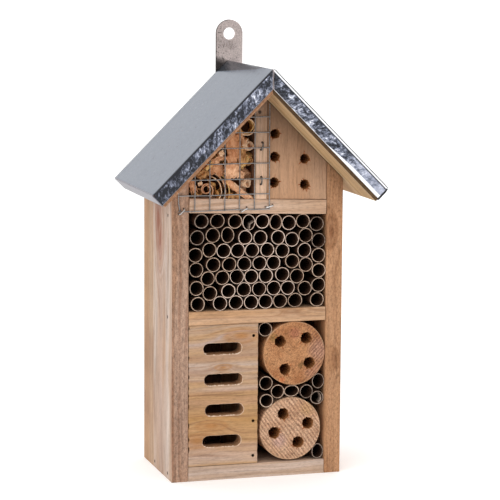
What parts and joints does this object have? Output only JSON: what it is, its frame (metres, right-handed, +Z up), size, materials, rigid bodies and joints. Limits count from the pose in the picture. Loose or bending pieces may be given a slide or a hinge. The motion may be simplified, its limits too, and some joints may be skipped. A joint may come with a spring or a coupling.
{
  "type": "insect hotel",
  "caption": "Gabled wooden insect hotel with a folded metal roof, nesting tubes, drilled wood, a slotted chamber, meshed shavings and a rear hanger plate.",
  "frame": {"origin": "middle of the case's footprint, on the surface it stands on", "axes": "+Z up, the open front faces -Y, +X to the right seen from the front's back"},
  "size_m": [0.1994, 0.135, 0.3782],
  "materials": {
    "side_wood": "dry unpainted softwood board, sawn edges, a knot near the top",
    "shelf_wood": "dry unpainted softwood, planed",
    "panel_wood": "dry unpainted softwood, horizontal grain, ragged slot edges",
    "block_wood": "softwood block with drilled holes, torn fibres at their rims",
    "roof_wood": "unpainted softwood roof board",
    "back_wood": "unpainted softwood board",
    "branch_wood": "end grain of a sawn branch, saw marks",
    "paper_tube": "brown wound paper, cut ends",
    "shavings": "curled plane shavings and bark chips",
    "zinc_sheet": "galvanised sheet with spangle, folded edges",
    "hanger_steel": "dull zinc-plated steel, stippled",
    "zinc_wire": "dull galvanised wire",
    "nail_steel": "dull darkened steel nail heads"
  },
  "bodies": {
    "root": {"side_panel_left": "side_wood", "side_panel_right": "side_wood", "bottom_board": "shelf_wood", "middle_shelf": "shelf_wood", "upper_shelf": "shelf_wood", "attic_post": "shelf_wood", "lower_divider": "shelf_wood", "slotted_panel": "panel_wood", "drilled_block": "block_wood", "roof_board_left": "roof_wood", "roof_board_right": "roof_wood", "back_panel": "back_wood", "log_disc_upper": "branch_wood", "log_disc_lower": "branch_wood", "bay_tube_1": "paper_tube", "bay_tube_2": "paper_tube", "bay_tube_3": "paper_tube", "bay_tube_4": "paper_tube", "bay_tube_5": "paper_tube", "bay_tube_6": "paper_tube", "bay_tube_7": "paper_tube", "bay_tube_8": "paper_tube", "bay_tube_9": "paper_tube", "tube_row_1": "paper_tube", "tube_row_2": "paper_tube", "tube_row_3": "paper_tube", "tube_row_4": "paper_tube", "tube_row_5": "paper_tube", "tube_row_6": "paper_tube", "tube_row_7": "paper_tube", "wood_shavings": "shavings", "roof_sheet": "zinc_sheet", "hanger_plate": "hanger_steel", "wire_mesh": "zinc_wire", "staple_post_upper": "zinc_wire", "staple_post_lower": "zinc_wire", "staple_shelf_left": "zinc_wire", "staple_shelf_middle": "zinc_wire", "staple_shelf_right": "zinc_wire", "hanger_screw_upper": "nail_steel", "hanger_screw_lower": "nail_steel", "post_nail": "nail_steel", "panel_pin_upper": "nail_steel", "panel_pin_middle": "nail_steel", "panel_pin_lower": "nail_steel", "side_nail_left_stray": "nail_steel", "side_nail_left_bottom_front": "nail_steel", "side_nail_left_bottom_back": "nail_steel", "side_nail_left_middle": "nail_steel", "side_nail_left_upper": "nail_steel", "side_nail_right_bottom_front": "nail_steel", "side_nail_right_bottom_back": "nail_steel", "side_nail_right_middle": "nail_steel", "side_nail_right_upper": "nail_steel", "eave_nail_left_front": "nail_steel", "eave_nail_left_back": "nail_steel", "eave_nail_right_front": "nail_steel", "eave_nail_right_back": "nail_steel"}
  },
  "joints": []
}
